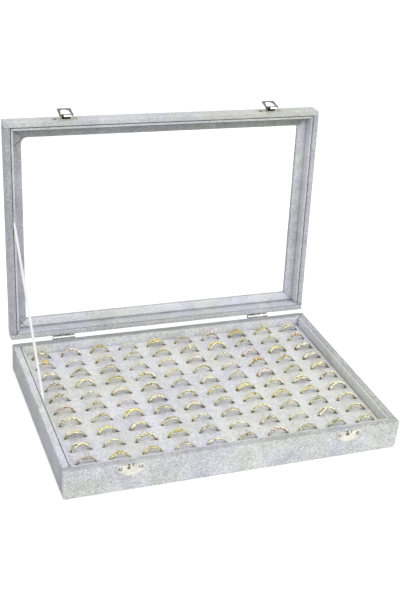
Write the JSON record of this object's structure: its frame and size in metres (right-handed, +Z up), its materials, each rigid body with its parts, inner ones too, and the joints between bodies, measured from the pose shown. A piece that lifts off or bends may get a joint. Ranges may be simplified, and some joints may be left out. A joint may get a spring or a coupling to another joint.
{
  "type": "ring display box",
  "caption": "Shallow velvet-covered display box with a slotted ring pad, a hinged window lid held by a ribbon, and two small toggle latches.",
  "frame": {"origin": "centre of the base's underside", "axes": "+Z up, -Y to the front where the latches are, +X to the right"},
  "size_m": [0.35, 0.2846, 0.2813],
  "materials": {
    "velvet_board": "crushed velvet over board",
    "border_velvet": "velvet over card",
    "pad_velvet": "velvet over foam",
    "board": "raw fibreboard",
    "paper": "matt card",
    "ribbon": "satin",
    "glass": "clear",
    "pale_nickel": "satin champagne nickel",
    "dark_nickel": "polished dark nickel",
    "gold": "polished gold plate",
    "clear_stone": "cut stone",
    "amber": "cut stone",
    "rose_enamel": "enamel",
    "pearl": "pearl lustre"
  },
  "bodies": {
    "base": {"front_wall": "velvet_board", "back_wall": "velvet_board", "left_wall": "velvet_board", "right_wall": "velvet_board", "floor_board": "board", "bottom_sheet": "paper", "front_liner": "velvet_board", "back_liner": "velvet_board", "left_liner": "velvet_board", "right_liner": "velvet_board", "pad_card": "paper", "slotted_pad": "pad_velvet", "left_strike_plate": "pale_nickel", "right_strike_plate": "pale_nickel", "base_nails": "pale_nickel", "left_base_leaf": "pale_nickel", "right_base_leaf": "pale_nickel", "hinge_pins": "dark_nickel", "lid_ribbon": "ribbon", "plain_rings": "gold", "wide_rings": "gold", "crossed_rings": "gold", "beaded_rings": "gold", "cluster_rings": "gold", "solitaire_rings": "gold", "crown_rings": "gold", "double_rings": "gold", "clear_stones": "clear_stone", "amber_stone": "amber", "rose_stones": "rose_enamel", "pearl": "pearl"},
    "lid": {"lid_front_rail": "velvet_board", "lid_back_rail": "velvet_board", "lid_left_rail": "velvet_board", "lid_right_rail": "velvet_board", "window_front_frame": "velvet_board", "window_back_frame": "velvet_board", "window_left_frame": "velvet_board", "window_right_frame": "velvet_board", "glass_pane": "glass", "front_border": "border_velvet", "back_border": "border_velvet", "left_border": "border_velvet", "right_border": "border_velvet", "lid_front_liner": "velvet_board", "lid_back_liner": "velvet_board", "lid_left_liner": "velvet_board", "lid_right_liner": "velvet_board", "left_lid_leaf": "pale_nickel", "right_lid_leaf": "pale_nickel", "left_latch_plate": "dark_nickel", "right_latch_plate": "dark_nickel", "lid_nails": "dark_nickel", "lever_pins": "dark_nickel"},
    "left_lever": {"left_lever": "dark_nickel", "left_loop_pin": "dark_nickel"},
    "right_lever": {"right_lever": "dark_nickel", "right_loop_pin": "dark_nickel"},
    "left_loop": {"left_loop": "dark_nickel"},
    "right_loop": {"right_loop": "dark_nickel"}
  },
  "joints": [
    {"name": "lid_hinge", "type": "hinge", "parent": "base", "child": "lid", "pos_m": [0, 0.1221, 0.03225], "axis": [1, 0, 0], "range_deg": [0, 95], "deforming": ["lid_ribbon"]},
    {"name": "left_lever_pivot", "type": "hinge", "parent": "lid", "child": "left_lever", "pos_m": [-0.111, 0.14706, 0.2757], "axis": [-1, 0, 0], "range_deg": [0, 125]},
    {"name": "right_lever_pivot", "type": "hinge", "parent": "lid", "child": "right_lever", "pos_m": [0.117, 0.14706, 0.2757], "axis": [-1, 0, 0], "range_deg": [0, 125]},
    {"name": "left_loop_pivot", "type": "hinge", "parent": "left_lever", "child": "left_loop", "pos_m": [-0.111, 0.14546, 0.27847], "axis": [1, 0, 0], "range_deg": [0, 293.51]},
    {"name": "right_loop_pivot", "type": "hinge", "parent": "right_lever", "child": "right_loop", "pos_m": [0.117, 0.14546, 0.27847], "axis": [1, 0, 0], "range_deg": [0, 293.51]}
  ],
  "couplings": [
    {"joint": "left_loop_pivot", "follows": "left_lever_pivot", "ratio": 2.348},
    {"joint": "right_loop_pivot", "follows": "right_lever_pivot", "ratio": 2.348}
  ]
}
